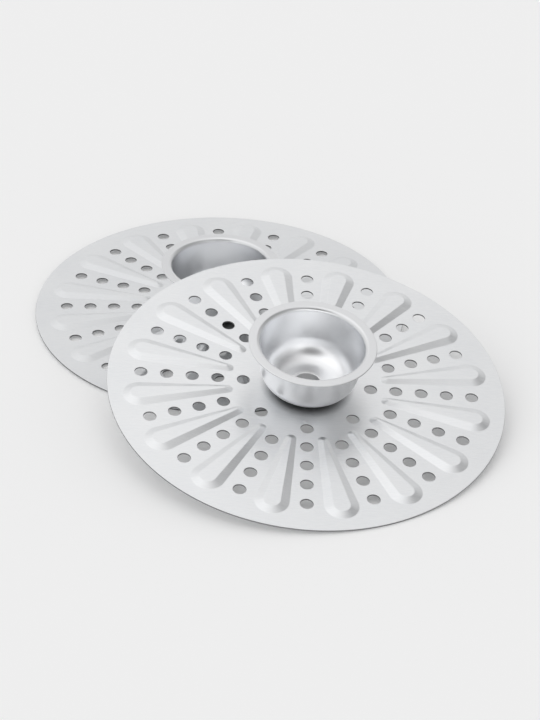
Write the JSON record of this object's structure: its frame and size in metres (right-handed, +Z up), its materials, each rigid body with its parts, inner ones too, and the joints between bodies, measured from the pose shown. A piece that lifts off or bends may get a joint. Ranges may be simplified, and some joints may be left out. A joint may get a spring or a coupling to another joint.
{
  "type": "steamer tray pair",
  "caption": "Perforated, ribbed aluminium steamer trays with riveted centre cups that carry the next tier; the front tray leans on the back tray's cup rim and lifts off.",
  "frame": {"origin": "middle of the pair's outline on the table it stands on", "axes": "+Y from the leaning front tray to the standing back tray, +Z up"},
  "size_m": [0.25, 0.384, 0.0633],
  "materials": {
    "disc_sheet": "satin mill finish",
    "cup_sheet": "semi-polished drawn sheet",
    "eyelet": "satin"
  },
  "bodies": {
    "back_tray": {"back_tray_disc": "disc_sheet", "back_tray_cup": "cup_sheet", "back_tray_eyelet": "eyelet"},
    "front_tray": {"front_tray_disc": "disc_sheet", "front_tray_cup": "cup_sheet", "front_tray_eyelet": "eyelet"}
  },
  "joints": [
    {"name": "front_tray_lift", "type": "slide", "parent": "back_tray", "child": "front_tray", "axis": [0, 0, 1], "range_m": [0, 0.12]}
  ]
}
